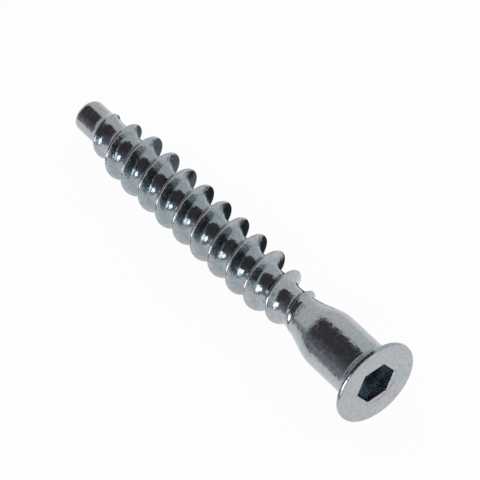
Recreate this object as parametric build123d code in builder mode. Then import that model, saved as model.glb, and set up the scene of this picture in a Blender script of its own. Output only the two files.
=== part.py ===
"""One-piece furniture connector screw, 50 mm long, lying as it comes to rest. Millimetres, Z up.

The screw is cold formed and thread rolled from one piece of wire: a thin countersunk head with a
hexagon socket in a shallow round mouth, a smooth shank, a long rounded shoulder down to the root, a
coarse deep right-hand thread that grows out of the shoulder and dies away again, and a plain pilot tip.

It is formed along its own axis, with the head face at zero and the tip upwards, and is then laid down
on the rim of its head and on its last full crest.
"""

import os
from math import atan, cos, radians, sin, tan

from build123d import *

# Whole screw. A place is a distance along the axis from the head face
overall_length = 50.0

# Head
head_diameter = 9.9
rim_height = 0.45
face_edge_round = 0.12
rim_edge_round = 0.12
countersink_angle = 100.0
head_root_round = 0.25

# Hexagon socket
socket_across_flats = 4.25
socket_depth = 3.4
socket_mouth_diameter = 5.4
socket_mouth_depth = 0.12
socket_mouth_angle = 90.0
socket_floor_angle = 120.0
socket_turn = 26.0  # from the underside to a corner

# Shank, and the rounded shoulder that runs down to the root of the thread
shank_diameter = 6.56
shoulder_place = 8.2
shoulder_length = 4.4
shoulder_round = 6.6
neck_round = 10.0

# Thread
thread_diameter = 6.7
root_diameter = 3.78
thread_pitch = 3.06
crest_width = 0.18
knee_width = 0.76
knee_height = 0.75
foot_width = 1.96
grow_in_offset = 0.6
grow_in_length = 9.5
die_out_length = 6.35
ridge_start_turn = 70.0
points_per_turn = 12
ridge_sink = 0.3
ridge_overrun = 0.08

# Pilot tip, which goes on at the root diameter
pilot_length = 2.0
tip_edge_round = 0.6

# Sizes that follow from those above
head_radius = head_diameter / 2
shank_radius = shank_diameter / 2
thread_radius = thread_diameter / 2
root_radius = root_diameter / 2
thread_height = thread_radius - root_radius
head_height = rim_height + (head_radius - shank_radius) / tan(radians(countersink_angle / 2))
mouth_radius = socket_mouth_diameter / 2
mouth_floor_radius = mouth_radius - socket_mouth_depth * tan(radians(socket_mouth_angle / 2))
floor_radius = socket_across_flats / 2
floor_bottom = socket_depth + floor_radius / tan(radians(socket_floor_angle / 2))
neck_place = shoulder_place + shoulder_length
thread_start = shoulder_place + grow_in_offset
full_thread_start = thread_start + grow_in_length
thread_end = overall_length - pilot_length
full_thread_end = thread_end - die_out_length

# The blank: one outline from the middle of the head face to the middle of the tip, turned about the axis
blank_corners = [
    ((0, 0), None),
    ((head_radius, 0), face_edge_round),
    ((head_radius, rim_height), rim_edge_round),
    ((shank_radius, head_height), head_root_round),
    ((shank_radius, shoulder_place), shoulder_round),
    ((root_radius, neck_place), neck_round),
    ((root_radius, overall_length), tip_edge_round),
    ((0, overall_length), None),
]


def ridge_growth(place):
    """Share of the full thread height at a place along the screw, below zero where the ridge is buried."""
    growing = (place - thread_start) / (full_thread_start - thread_start)
    dying = (thread_end - place) / (thread_end - full_thread_end)
    return min(growing, dying, 1.0)


def ridge_turn(place):
    """Angle that the ridge has wound to, in degrees, when its crest reaches a place along the screw."""
    return ridge_start_turn + 360 * (place - thread_start) / thread_pitch


def ridge_line(axial_offset, height, follows_growth=True):
    """One long edge of the thread ridge, which winds round the axis at a height above the root."""
    ridge_end = thread_end + ridge_overrun * (thread_end - full_thread_end)
    steps = round(points_per_turn * (ridge_end - thread_start) / thread_pitch)
    travel = [step / steps for step in range(steps + 1)]
    points = []
    for travelled in travel:
        place = thread_start + (ridge_end - thread_start) * travelled
        share = ridge_growth(place) if follows_growth else 1.0
        point = Vector(root_radius + height * share, 0, place + axial_offset)
        points.append(point.rotate(Axis.Z, ridge_turn(place)))
    return Edge.make_spline(points, parameters=travel)


# The last full crest comes to the underside when the screw lies down
underside_turn = ridge_turn(full_thread_end)

# The ridge of the thread: ruled faces between its long edges, closed by a flat face at each end
foot_slope = (foot_width - knee_width) / 2 / knee_height
base_offset = foot_width / 2 + foot_slope * ridge_sink
ridge_lines = [
    ridge_line(-base_offset, -ridge_sink, follows_growth=False),
    ridge_line(-knee_width / 2, knee_height),
    ridge_line(-crest_width / 2, thread_height),
    ridge_line(crest_width / 2, thread_height),
    ridge_line(knee_width / 2, knee_height),
    ridge_line(base_offset, -ridge_sink, follows_growth=False),
]
next_lines = ridge_lines[1:] + ridge_lines[:1]
ridge_sides = [Face.make_surface_from_curves(*pair) for pair in zip(ridge_lines, next_lines)]
ridge_ends = [
    Face(Wire.make_polygon([line.position_at(end) for line in ridge_lines], close=True))
    for end in (0, 1)
]
thread_ridge = Solid(Shell(ridge_sides + ridge_ends))

with BuildPart() as connector_screw:
    with BuildSketch(Plane.XZ) as blank_outline:
        with BuildLine():
            FilletPolyline(
                *[corner for corner, _ in blank_corners],
                radius=[corner_round for _, corner_round in blank_corners[1:-1]],
            )
            Line((0, overall_length), (0, 0))
        make_face()
    revolve(axis=Axis.Z)
    add(thread_ridge)

    # Hexagon socket
    with BuildSketch(Plane.XY):
        RegularPolygon(floor_radius, 6, major_radius=False, rotation=underside_turn + socket_turn)
    extrude(amount=socket_depth, mode=Mode.SUBTRACT)

    # Its conical floor and its shallow round mouth, as the tip and the shoulder of the punch leave them
    with BuildSketch(Plane.XZ):
        with BuildLine():
            Polyline((0, 0), (floor_radius, socket_depth), (0, floor_bottom), close=True)
        make_face()
        with BuildLine():
            Polyline(
                (0, 0), (mouth_radius, 0), (mouth_floor_radius, socket_mouth_depth), (0, socket_mouth_depth),
                close=True,
            )
        make_face()
    revolve(axis=Axis.Z, mode=Mode.SUBTRACT)

# The screw rests on the inner edge of its rim and on the last full crest, so its axis dips towards the tip
rim_contact = rim_height - rim_edge_round
crest_contact = full_thread_end + crest_width / 2
dip = atan((head_radius - thread_radius) / (crest_contact - rim_contact))
lying = Plane(origin=(0, 0, 0), x_dir=(sin(dip), 0, -cos(dip)), z_dir=(-cos(dip), 0, -sin(dip)))
laid = connector_screw.part.rotate(Axis.Z, -underside_turn).moved(lying.location)
box = laid.bounding_box()
connector_screw.part = laid.moved(Location((-box.center().X, -box.center().Y, -box.min.Z)))
connector_screw.part.label = "connector_screw"

os.makedirs("parts", exist_ok=True)
export_step(connector_screw.part, "parts/connector_screw.step")
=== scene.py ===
"""Looks of a one-piece furniture connector screw in bright zinc plate, lying on a white table.

The screw is drawn along its own axis in millimetres, with the head face at zero and the tip upwards, and
is then laid down where the solid lies.
"""

from math import atan, atan2, cos, floor, hypot, pi, radians, sin, sqrt, tan

import bmesh
import bpy
from mathutils import Matrix, Vector


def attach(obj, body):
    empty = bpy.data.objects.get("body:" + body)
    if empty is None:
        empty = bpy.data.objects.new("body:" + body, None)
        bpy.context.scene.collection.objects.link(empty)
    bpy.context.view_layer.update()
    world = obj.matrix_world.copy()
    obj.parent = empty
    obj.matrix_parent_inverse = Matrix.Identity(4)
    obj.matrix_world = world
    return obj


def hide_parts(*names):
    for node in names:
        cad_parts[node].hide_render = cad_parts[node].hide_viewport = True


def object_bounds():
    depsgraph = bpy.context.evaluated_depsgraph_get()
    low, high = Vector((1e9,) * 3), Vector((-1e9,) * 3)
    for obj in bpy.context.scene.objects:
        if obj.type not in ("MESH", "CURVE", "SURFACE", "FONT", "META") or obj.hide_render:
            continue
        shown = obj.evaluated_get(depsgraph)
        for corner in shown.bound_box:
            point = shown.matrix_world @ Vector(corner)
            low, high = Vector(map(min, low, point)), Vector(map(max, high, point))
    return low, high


MILLIMETRE = 0.001

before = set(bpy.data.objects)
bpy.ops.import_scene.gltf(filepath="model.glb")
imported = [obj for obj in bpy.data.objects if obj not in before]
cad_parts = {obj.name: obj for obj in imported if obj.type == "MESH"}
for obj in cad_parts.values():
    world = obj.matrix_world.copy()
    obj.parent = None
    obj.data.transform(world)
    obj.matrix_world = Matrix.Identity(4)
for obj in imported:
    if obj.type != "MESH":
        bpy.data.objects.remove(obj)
cad_low, cad_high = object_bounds()

# Sizes of the screw in millimetres. The shoulder, the neck, the root, the pilot tip and both run-outs of
# the thread follow the photograph's outline a little closer than the solid's do. The face's edge is
# rounder than the solid's, for the highlight on the rim. All else is the solid's
overall_length = 50.0
head_radius = 4.95
rim_height = 0.45
face_edge_round = 0.25
rim_edge_round = 0.12
countersink_half_angle = radians(50)
head_root_round = 0.25
socket_half_flats = 2.125
socket_depth = 3.4
socket_mouth_radius = 2.7
socket_mouth_depth = 0.12
socket_mouth_half_angle = radians(45)
socket_floor_half_angle = radians(60)
socket_turn = radians(26)
shank_radius = 3.28
shoulder_place = 8.2
shoulder_length = 4.5
shoulder_round = 5.7
neck_round = 16.0
root_radius = 1.87
thread_radius = 3.35
thread_pitch = 3.06
grow_in_offset = 0.3
grow_in_length = 9.6
die_out_length = 6.95
pilot_length = 1.4
tip_edge_round = 0.6

# Rounded form that rolling leaves on the thread
crest_round = 0.15
flank_half_angle = radians(24.5)
foot_round = 1.05
growth_blend = 0.12

# Softened edges of the socket, which catch the light as thin lines
mouth_edge_round = 0.03
hexagon_edge_round = 0.12

# How finely the surface is drawn, and how near two points have to lie to become one
steps_per_turn = 120
arc_step = radians(9)
shoulder_rows = 12
flank_rows = [0, 0.04, 0.08, 0.12, 0.17, 0.25, 0.35, 0.47, 0.6, 0.7, 0.8, 0.9, 1.0, 1.15, 1.34]
merge_distance = 0.002
sliver_length = 0.0005

# The wound surface runs on past both ends of the thread
lead_in = 0.3
lead_out = 0.6

# Places along the screw that follow from the sizes
head_height = rim_height + (head_radius - shank_radius) / tan(countersink_half_angle)
neck_place = shoulder_place + shoulder_length
thread_start = shoulder_place + grow_in_offset
thread_end = overall_length - pilot_length
full_thread_end = thread_end - die_out_length
wound_start = thread_start - lead_in
wound_end = thread_end + lead_out


def round_between(before, corner, after, radius):
    """Points of the arc that rounds a corner of an outline."""
    towards = (before - corner).normalized()
    onwards = (after - corner).normalized()
    half_turn = towards.angle(onwards) / 2
    centre = corner + (towards + onwards).normalized() * (radius / sin(half_turn))
    first = corner + towards * (radius / tan(half_turn))
    swing = pi - 2 * half_turn
    if onwards.cross(towards) < 0:
        swing = -swing
    parts = max(2, round(abs(swing) / arc_step))
    return [centre + Matrix.Rotation(swing * part / parts, 2) @ (first - centre) for part in range(parts + 1)]


def rounded_outline(corners):
    """An outline of (radius, place) points from corners that each have their own round."""
    spots = [Vector(corner) for corner, _ in corners]
    points = [spots[0]]
    for number in range(1, len(corners) - 1):
        corner_round = corners[number][1]
        if corner_round:
            points += round_between(*spots[number - 1:number + 2], corner_round)
        else:
            points.append(spots[number])
    return points + [spots[-1]]


def spin_outline(mesh, points, advance=0.0):
    """Turns an outline once about the screw's axis, and winds it along the axis where it has an advance."""
    start = Matrix.Rotation(socket_turn, 3, "Z")
    line = [mesh.verts.new(start @ Vector((point.x, 0, point.y))) for point in points]
    edges = [mesh.edges.new(pair) for pair in zip(line, line[1:])]
    bmesh.ops.spin(
        mesh,
        geom=line + edges,
        cent=(0, 0, 0),
        axis=(0, 0, 1),
        dvec=(0, 0, advance / steps_per_turn),
        angle=2 * pi,
        steps=steps_per_turn,
        use_merge=not advance,
    )


# The neck, as tangent lengths of its two rounds and the cone between them
neck_half_angle = atan((shank_radius - root_radius) / shoulder_length)
shoulder_tangent = shoulder_round * tan(neck_half_angle / 2)
neck_tangent = neck_round * tan(neck_half_angle / 2)
shoulder_arc_start = shoulder_place - shoulder_tangent


def blank_radius(place):
    """Radius of the plain body, without its thread, from the shank to the pilot tip."""
    cone_start = shoulder_place + shoulder_tangent * cos(neck_half_angle)
    cone_end = neck_place - neck_tangent * cos(neck_half_angle)
    neck_arc_end = neck_place + neck_tangent
    if place <= shoulder_arc_start:
        return shank_radius
    if place <= cone_start:
        return shank_radius - shoulder_round + sqrt(shoulder_round ** 2 - (place - shoulder_arc_start) ** 2)
    if place <= cone_end:
        return shank_radius - (place - shoulder_place) * tan(neck_half_angle)
    if place <= neck_arc_end:
        return root_radius + neck_round - sqrt(neck_round ** 2 - (neck_arc_end - place) ** 2)
    return root_radius


def ridge_height(offset):
    """Height of the full thread above the root, at an axial offset from its crest."""
    offset = abs(offset)
    slope = 1 / tan(flank_half_angle)
    full = thread_radius - root_radius
    crest_centre = full - crest_round
    crest_edge = crest_round * cos(flank_half_angle)
    crest_edge_height = crest_centre + crest_round * sin(flank_half_angle)
    flank_foot = crest_edge + crest_edge_height / slope
    foot_tangent = foot_round * tan((pi / 2 - flank_half_angle) / 2)
    foot_end = flank_foot + foot_tangent
    foot_start = flank_foot - foot_tangent * sin(flank_half_angle)
    if offset <= crest_edge:
        return crest_centre + sqrt(crest_round ** 2 - offset ** 2)
    if offset <= foot_start:
        return crest_edge_height - (offset - crest_edge) * slope
    if offset <= foot_end:
        return foot_round - sqrt(foot_round ** 2 - (foot_end - offset) ** 2)
    return 0.0


def ridge_growth(place):
    """Share of the full height that the ridge has at a place along the screw."""
    growing = (place - thread_start) / grow_in_length
    dying = (thread_end - place) / die_out_length
    return min(growing, dying, 1.0)


def threaded_radius(angle, place):
    """Radius of the threaded surface at an angle and a place, with the ridge melting into the body."""
    crest_place = full_thread_end + thread_pitch * angle / (2 * pi)
    turns_away = floor((place - crest_place) / thread_pitch + 0.5)
    offset = place - crest_place - turns_away * thread_pitch
    body = blank_radius(place)
    sunk = growth_blend * (1 - max(ridge_growth(place), 0))
    ridge = root_radius - sunk + ridge_height(offset) * ridge_growth(place - offset)
    nearness = max(growth_blend - abs(ridge - body), 0) / growth_blend
    return max(ridge, body) + nearness ** 2 * growth_blend / 4


def socket_radius(angle):
    """Distance from the axis to the flats of the hexagon at an angle."""
    from_flat = (angle - socket_turn) % (pi / 3) - pi / 6
    return socket_half_flats / cos(from_flat)


def take_in(mesh, other):
    """Adds all of another bmesh to this one."""
    held = bpy.data.meshes.new("held")
    other.to_mesh(held)
    other.free()
    mesh.from_mesh(held)
    bpy.data.meshes.remove(held)


def soften(mesh, nearest, deepest, width):
    """Rounds the sharp edges of the socket that start and end between two depths below the head face."""
    sharp_angle = radians(20)
    slack = 0.01
    reach = socket_mouth_radius + 2 * slack
    sharp = [
        edge for edge in mesh.edges
        if len(edge.link_faces) == 2
        and edge.calc_face_angle(0) > sharp_angle
        and all(
            hypot(*vertex.co.xy) < reach and nearest - slack < vertex.co.z < deepest
            for vertex in edge.verts
        )
    ]
    bmesh.ops.bevel(
        mesh,
        geom=sharp,
        offset=width,
        offset_type="OFFSET",
        affect="EDGES",
        segments=3,
        profile=0.5,
        material=-1,
        clamp_overlap=True,
    )


def build_screw():
    """The whole screw as one closed mesh: turned head and tip, wound thread and shaped socket."""
    mesh = bmesh.new()

    # Head, shank and the start of the shoulder, from the mouth of the socket outwards
    head = rounded_outline([
        ((socket_mouth_radius, 0), 0),
        ((head_radius, 0), face_edge_round),
        ((head_radius, rim_height), rim_edge_round),
        ((shank_radius, head_height), head_root_round),
        ((shank_radius, shoulder_arc_start), 0),
    ])
    for row in range(1, shoulder_rows + 1):
        place = shoulder_arc_start + (wound_start - shoulder_arc_start) * row / shoulder_rows
        head.append(Vector((blank_radius(place), place)))
    spin_outline(mesh, head)

    # Pilot tip
    tip = rounded_outline([
        ((root_radius, wound_end), 0),
        ((root_radius, overall_length), tip_edge_round),
        ((0, overall_length), 0),
    ])
    spin_outline(mesh, tip)

    # Thread: one pitch of surface wound along the body, in whole turns that reach past both of its ends,
    # and trimmed to a ring there
    half_pitch = thread_pitch / 2
    offsets = sorted({-row for row in flank_rows} | set(flank_rows) | {-half_pitch, half_pitch})
    turns = floor((wound_end - wound_start) / thread_pitch) + 3
    first_crest = full_thread_end + thread_pitch * socket_turn / (2 * pi)
    first_crest -= thread_pitch * (floor((first_crest - wound_start) / thread_pitch) + 2)
    profile = [Vector((root_radius, first_crest + offset)) for offset in offsets]
    wound = bmesh.new()
    spin_outline(wound, profile, thread_pitch)
    one_turn = wound.verts[:] + wound.edges[:] + wound.faces[:]
    for turn in range(1, turns):
        copied = bmesh.ops.duplicate(wound, geom=one_turn)["geom"]
        further = [item for item in copied if isinstance(item, bmesh.types.BMVert)]
        bmesh.ops.translate(wound, vec=(0, 0, thread_pitch * turn), verts=further)
    for vertex in wound.verts:
        place = min(max(vertex.co.z, wound_start), wound_end)
        direction = vertex.co.xy.normalized()
        vertex.co.xy = direction * threaded_radius(atan2(direction.y, direction.x), place)
        vertex.co.z = place
    bmesh.ops.remove_doubles(wound, verts=wound.verts, dist=merge_distance)
    bmesh.ops.dissolve_degenerate(wound, edges=wound.edges, dist=sliver_length)
    take_in(mesh, wound)

    # Socket: a shallow round mouth, flat walls and a conical floor, all on the same spokes. The walls have
    # two rows of corners between their ends, and the floor has one halfway
    mouth_floor_radius = socket_mouth_radius - socket_mouth_depth * tan(socket_mouth_half_angle)
    corner_radius = socket_half_flats / cos(pi / 6)
    upper_wall_row = socket_depth * 0.4
    lower_wall_row = socket_depth * 0.7
    floor_edge_radius = socket_half_flats * 0.97
    cone_height = socket_half_flats / tan(socket_floor_half_angle)
    socket = [
        Vector((socket_mouth_radius, 0)),
        Vector((mouth_floor_radius, socket_mouth_depth)),
        Vector((corner_radius, socket_mouth_depth)),
        Vector((corner_radius, upper_wall_row)),
        Vector((corner_radius, lower_wall_row)),
        Vector((corner_radius, socket_depth)),
        Vector((floor_edge_radius, socket_depth)),
        Vector((socket_half_flats / 2, socket_depth + cone_height / 2)),
        Vector((0, socket_depth + cone_height)),
    ]
    hollow = bmesh.new()
    spin_outline(hollow, socket)
    for vertex in hollow.verts:
        if abs(vertex.co.xy.length - corner_radius) < merge_distance:
            direction = vertex.co.xy.normalized()
            vertex.co.xy = direction * socket_radius(atan2(direction.y, direction.x))
    bmesh.ops.remove_doubles(hollow, verts=hollow.verts, dist=merge_distance)
    take_in(mesh, hollow)

    bmesh.ops.remove_doubles(mesh, verts=mesh.verts, dist=merge_distance)
    bmesh.ops.recalc_face_normals(mesh, faces=mesh.faces)

    # The mouth's rim lies above half of its depth. The edges of its floor and of the hexagon's walls lie
    # below that, and those at the bottom of the socket stay sharp
    half_mouth_depth = socket_mouth_depth / 2
    near_bottom = socket_depth * 0.9
    soften(mesh, 0, half_mouth_depth, mouth_edge_round)
    soften(mesh, half_mouth_depth, near_bottom, hexagon_edge_round)
    return mesh


def lay_down(mesh):
    """Puts the drawn screw where the solid lies: on its rim and its last full crest, head towards +X."""
    rim_contact = rim_height - rim_edge_round
    dip = atan((head_radius - thread_radius) / (full_thread_end - rim_contact))
    down = Vector((sin(dip), 0, -cos(dip)))
    along = Vector((-cos(dip), 0, -sin(dip)))
    turned = Matrix((down, along.cross(down), along)).transposed().to_4x4()
    bmesh.ops.transform(mesh, matrix=Matrix.Scale(MILLIMETRE, 4) @ turned, verts=mesh.verts)
    low_x = min(vertex.co.x for vertex in mesh.verts)
    high_x = max(vertex.co.x for vertex in mesh.verts)
    low_z = min(vertex.co.z for vertex in mesh.verts)
    middle = (cad_low.x + cad_high.x) / 2
    shift = Vector((middle - (low_x + high_x) / 2, 0, cad_low.z - low_z))
    bmesh.ops.translate(mesh, vec=shift, verts=mesh.verts)


def srgb(hex_colour):
    """Linear colour with full alpha from an sRGB hex value such as C0C4C6."""
    channels = []
    for place in (0, 2, 4):
        value = int(hex_colour[place:place + 2], 16) / 255
        channels.append(value / 12.92 if value <= 0.04045 else ((value + 0.055) / 1.055) ** 2.4)
    return (*channels, 1.0)


def add(tree, kind, inputs=None, **settings):
    """Adds a node with its settings, and with each input in use set to a value or linked from an output."""
    node = tree.nodes.new(kind)
    for name, value in settings.items():
        setattr(node, name, value)
    used = {socket.name: socket for socket in node.inputs if socket.enabled}
    for name, value in (inputs or {}).items():
        socket = node.inputs[name] if isinstance(name, int) else used[name]
        if isinstance(value, bpy.types.NodeSocket):
            tree.links.new(value, socket)
        else:
            socket.default_value = value
    return node


def result_of(node):
    """The output in use of a node that has one output for each kind of data."""
    return next(socket for socket in node.outputs if socket.enabled)


def new_material(name):
    """An empty material and its node tree."""
    material = bpy.data.materials.new(name)
    material.use_nodes = True
    material.node_tree.nodes.clear()
    return material, material.node_tree


def set_stops(ramp, stops):
    """Gives a colour ramp its sRGB colours, which are listed by their position."""
    marks = ramp.elements
    positions = sorted(stops)
    for position in positions[1:-1]:
        marks.new(position)
    marks[0].position = positions[0]
    marks[-1].position = positions[-1]
    for mark, position in zip(marks, positions):
        mark.color = srgb(stops[position])


def per_metre(size_in_millimetres):
    """Noise scale that gives features of a real size."""
    return 1 / (size_in_millimetres * MILLIMETRE)


def bright_zinc_plate():
    """Bright zinc electroplate on rolled steel: a mirror blurred by fine grain and shallow waves, which
    tear the edges of what it reflects, with a faint green to rose tint in patches from the passivation.
    Deep in the socket and at the root of the thread the colour is darker and greener: painted shade, partly
    also the thinner plate there."""
    material, tree = new_material("bright_zinc_plate")
    place = add(tree, "ShaderNodeTexCoord").outputs["Object"]

    # Tint of the passivation, in patches of about two millimetres
    patches = add(tree, "ShaderNodeTexNoise", {"Vector": place, "Scale": per_metre(2.2), "Detail": 3.0})
    tint = add(tree, "ShaderNodeValToRGB", {"Fac": patches.outputs["Fac"]})
    set_stops(tint.color_ramp, {0.35: "B1BBBD", 0.65: "BDBBC0"})

    # Painted shade in recesses, darker and greener, partly also for the thinner plate there. The recesses are
    # found by how much of the screw itself stands round a point
    openness = add(
        tree, "ShaderNodeAmbientOcclusion",
        {"Distance": 3.0 * MILLIMETRE},
        only_local=True, samples=8,
    )
    recess_shade = add(tree, "ShaderNodeValToRGB", {"Fac": openness.outputs["AO"]})
    set_stops(recess_shade.color_ramp, {0.0: "3F858E", 0.3: "6F9FA9", 0.6: "B6CED4", 0.85: "FFFFFF"})
    tint_and_recess_shade = add(
        tree, "ShaderNodeMix",
        {"Factor": 1.0, "A": tint.outputs["Color"], "B": recess_shade.outputs["Color"]},
        data_type="RGBA", blend_type="MULTIPLY",
    )

    # Grain, which mottles the colour and blurs the mirror unevenly. The real one is far too fine to show,
    # so it is drawn as coarse as a third of a millimetre
    grain = add(tree, "ShaderNodeTexNoise", {"Vector": place, "Scale": per_metre(0.35), "Detail": 4.0})
    mottle = add(tree, "ShaderNodeValToRGB", {"Fac": grain.outputs["Fac"]})
    set_stops(mottle.color_ramp, {0.35: "E6E6E8", 0.65: "FFFFFF"})
    colour = add(
        tree, "ShaderNodeMix",
        {"Factor": 1.0, "A": result_of(tint_and_recess_shade), "B": mottle.outputs["Color"]},
        data_type="RGBA", blend_type="MULTIPLY",
    )
    haze = add(
        tree, "ShaderNodeMapRange",
        {"Value": grain.outputs["Fac"], "From Min": 0.3, "From Max": 0.7, "To Min": 0.12, "To Max": 0.26},
    )

    # Shallow waves under the grain, less than a millimetre apart
    waves = add(tree, "ShaderNodeTexNoise", {"Vector": place, "Scale": per_metre(0.7), "Detail": 3.0})
    wave_bump = add(
        tree, "ShaderNodeBump",
        {"Height": waves.outputs["Fac"], "Strength": 0.5, "Distance": 0.09 * MILLIMETRE},
    )
    grain_bump = add(
        tree, "ShaderNodeBump",
        {
            "Height": grain.outputs["Fac"], "Strength": 0.35, "Distance": 0.03 * MILLIMETRE,
            "Normal": wave_bump.outputs["Normal"],
        },
    )
    shader = add(
        tree, "ShaderNodeBsdfPrincipled",
        {
            "Base Color": result_of(colour), "Metallic": 1.0,
            "Roughness": haze.outputs["Result"], "Normal": grain_bump.outputs["Normal"],
        },
    )
    add(tree, "ShaderNodeOutputMaterial", {"Surface": shader.outputs["BSDF"]})
    return material


def seen_or_mirrored(tree):
    """One where a ray comes from the camera, a mirror-like surface or glass, and nothing otherwise."""
    path = add(tree, "ShaderNodeLightPath")
    mirrored = add(
        tree, "ShaderNodeMath",
        {0: path.outputs["Is Glossy Ray"], 1: path.outputs["Is Transmission Ray"]},
        operation="MAXIMUM",
    )
    return add(
        tree, "ShaderNodeMath",
        {0: path.outputs["Is Camera Ray"], 1: mirrored.outputs[0]},
        operation="MAXIMUM",
    ).outputs[0]


def white_table():
    """Matt white table top, bright as the photograph's background, that still takes the screw's shadow."""
    material, tree = new_material("matt_white_table")
    matt = add(tree, "ShaderNodeBsdfDiffuse", {"Color": srgb("F4F4F4")})
    glow = add(tree, "ShaderNodeEmission", {"Color": srgb("FFFFFF"), "Strength": 1.0})
    white_share = 0.95
    share = add(tree, "ShaderNodeMath", {0: seen_or_mirrored(tree), 1: white_share}, operation="MULTIPLY")
    mixed = add(
        tree, "ShaderNodeMixShader",
        {"Fac": share.outputs[0], 1: matt.outputs["BSDF"], 2: glow.outputs["Emission"]},
    )
    add(tree, "ShaderNodeOutputMaterial", {"Surface": mixed.outputs["Shader"]})
    return material


def plain_card(name, hex_colour, strength):
    """Card in one tone that glows by itself, so that the plate mirrors it as it is."""
    material, tree = new_material(name)
    glow = add(tree, "ShaderNodeEmission", {"Color": srgb(hex_colour), "Strength": strength})
    add(tree, "ShaderNodeOutputMaterial", {"Surface": glow.outputs["Emission"]})
    return material


def unlit_room(tones):
    """Dark room whose tone changes with the angle from overhead towards the camera's side, in degrees."""
    first, last = min(tones), max(tones)
    material, tree = new_material("unlit_room")
    place = add(tree, "ShaderNodeTexCoord").outputs["Object"]
    parts = add(tree, "ShaderNodeSeparateXYZ", {"Vector": place})
    sideways = add(tree, "ShaderNodeMath", {0: parts.outputs["Y"], 1: -1.0}, operation="MULTIPLY")
    angle = add(tree, "ShaderNodeMath", {0: sideways.outputs[0], 1: parts.outputs["Z"]}, operation="ARCTAN2")
    share = add(
        tree, "ShaderNodeMapRange",
        {"Value": angle.outputs[0], "From Min": radians(first), "From Max": radians(last)},
    )
    colour = add(tree, "ShaderNodeValToRGB", {"Fac": share.outputs["Result"]})
    stops = {(degrees - first) / (last - first): tone for degrees, tone in tones.items()}
    set_stops(colour.color_ramp, stops)
    glow = add(tree, "ShaderNodeEmission", {"Color": colour.outputs["Color"], "Strength": 1.0})
    add(tree, "ShaderNodeOutputMaterial", {"Surface": glow.outputs["Emission"]})
    return material


def add_mesh_object(name, mesh):
    """Puts a bmesh into the scene as an object at the origin."""
    data = bpy.data.meshes.new(name)
    mesh.to_mesh(data)
    mesh.free()
    item = bpy.data.objects.new(name, data)
    bpy.context.scene.collection.objects.link(item)
    return item


def show_in_mirrors_only(card, material):
    """Keeps a card for what the plate mirrors: it lights nothing, shades nothing and isn't seen itself."""
    card.data.materials.append(material)
    card.visible_camera = False
    card.visible_diffuse = False
    card.visible_shadow = False


def add_card(name, centre, across, up, material):
    """Flat card round a centre, with its half width and half height as vectors, all in millimetres."""
    across, up = Vector(across), Vector(up)
    turned = Matrix((across, up, across.cross(up).normalized())).transposed().to_4x4()
    placed = Matrix.Scale(MILLIMETRE, 4) @ Matrix.Translation(centre) @ turned
    mesh = bmesh.new()
    bmesh.ops.create_grid(mesh, x_segments=1, y_segments=1, size=1.0)
    bmesh.ops.transform(mesh, matrix=placed, verts=mesh.verts)
    show_in_mirrors_only(add_mesh_object(name, mesh), material)


# The screw
screw_mesh = build_screw()
lay_down(screw_mesh)
screw = add_mesh_object("plated_screw", screw_mesh)
for face in screw.data.polygons:
    face.use_smooth = True
screw.data.materials.append(bright_zinc_plate())
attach(screw, "root")
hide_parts("connector_screw")

# Table top
table_half_width = 2000 * MILLIMETRE
table_mesh = bmesh.new()
bmesh.ops.create_grid(table_mesh, x_segments=1, y_segments=1, size=table_half_width)
table = add_mesh_object("table_top", table_mesh)
table.data.materials.append(white_table())

# Dark ceiling that the plate mirrors, as an arc over the screw that leaves the side away from the camera
# open. It stands in for the unlit room round the camera. Its tones go by degrees from overhead
room_tones = {-24: "494345", 48: "49464A", 58: "5A5A61", 72: "68686F", 88: "7E7E86", 96: "898991"}
ceiling_from = radians(min(room_tones))
ceiling_to = radians(max(room_tones))
ceiling_reach = 600 * MILLIMETRE
ceiling_half_length = 900 * MILLIMETRE
ceiling_steps = 32
arc_start = Vector((0, -ceiling_reach * sin(ceiling_from), ceiling_reach * cos(ceiling_from)))
half_length = Vector((ceiling_half_length, 0, 0))
ceiling_mesh = bmesh.new()
ends = [ceiling_mesh.verts.new(arc_start - half_length), ceiling_mesh.verts.new(arc_start + half_length)]
edge = ceiling_mesh.edges.new(ends)
bmesh.ops.spin(
    ceiling_mesh,
    geom=ends + [edge],
    cent=(0, 0, 0),
    axis=(1, 0, 0),
    dvec=(0, 0, 0),
    angle=ceiling_to - ceiling_from,
    steps=ceiling_steps,
)
show_in_mirrors_only(add_mesh_object("dark_ceiling", ceiling_mesh), unlit_room(room_tones))

# Flat cards lie this far above the table, in millimetres like all that follows for them
card_lift = 0.1
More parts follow.
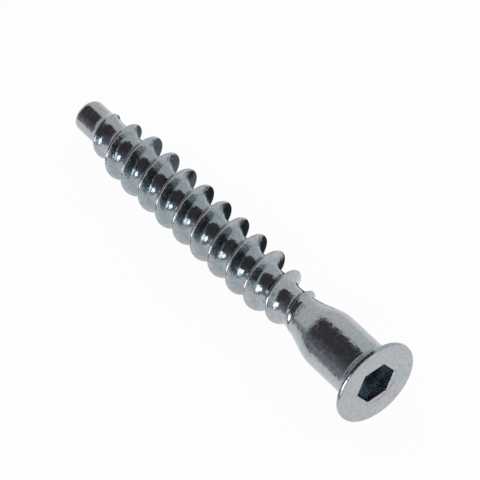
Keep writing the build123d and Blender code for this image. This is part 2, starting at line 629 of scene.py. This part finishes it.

# Painted shade of the table towards the camera's side, up to the lit sheet that the screw lies on: a grey
# card, seen only in the plate's mirror, that carries the unlit room on over the table
sheet_edge = 13
table_reach = 600
add_card(
    "shaded_near_table",
    centre=(0, -(sheet_edge + table_reach) / 2, card_lift),
    across=(table_reach, 0, 0),
    up=(0, (table_reach - sheet_edge) / 2, 0),
    material=plain_card("shaded_near_table", "8E8E96", 1.0),
)

# The screw's shade on the table behind the thread, mirrored by the right-hand sides of the crests
shade_middle = 7.5
shade_half_depth = 5.5
for name, place, half_width, tone in (
    ("tip_shade", -16.5, 8.5, "6A7678"),
    ("middle_shade", -0.5, 7.5, "2A3437"),
):
    add_card(
        name,
        centre=(place, shade_middle, card_lift),
        across=(half_width, 0, 0),
        up=(0, shade_half_depth, 0),
        material=plain_card(name, tone, 1.0),
    )

# Bright card low beside the head, mirrored by its rim
add_card(
    "rim_window",
    centre=(35, -30, 11.5),
    across=(13, 0, 0),
    up=(0, 0, 11),
    material=plain_card("rim_light", "FFFFFF", 3.0),
)

# Bright window low on the camera's side, turned towards the thread and mirrored in its valleys
window_half_width = 55
window_direction = Vector((0.98, 0.2, 0))
add_card(
    "low_window",
    centre=(20, -147, 28),
    across=window_direction * window_half_width,
    up=(0, 0, 26),
    material=plain_card("window_light", "E6F0FF", 5.0),
)

# Even light from all round
world = bpy.data.worlds.new("studio")
bpy.context.scene.world = world
world.use_nodes = True
world.node_tree.nodes.clear()
surround = add(world.node_tree, "ShaderNodeBackground", {"Color": srgb("F2F4F5"), "Strength": 0.87})
add(world.node_tree, "ShaderNodeOutputWorld", {"Surface": surround.outputs["Background"]})

# Camera, at the photograph's angle and distance
camera_azimuth = radians(52.205)
camera_elevation = radians(49.02)
camera_distance = 417.5 * MILLIMETRE
aim_point = Vector((0.296, 1.415, 4.02)) * MILLIMETRE
backwards = Vector((
    sin(camera_azimuth) * cos(camera_elevation),
    -cos(camera_azimuth) * cos(camera_elevation),
    sin(camera_elevation),
))
camera_data = bpy.data.cameras.new("camera")
camera_data.sensor_width = 36.0
camera_data.lens = 296.1
camera_data.clip_start = 0.01
camera = bpy.data.objects.new("camera", camera_data)
camera.location = aim_point + backwards * camera_distance
camera.rotation_euler = (pi / 2 - camera_elevation, 0, camera_azimuth)
bpy.context.scene.collection.objects.link(camera)
bpy.context.scene.camera = camera

bpy.context.scene.view_settings.view_transform = "Standard"
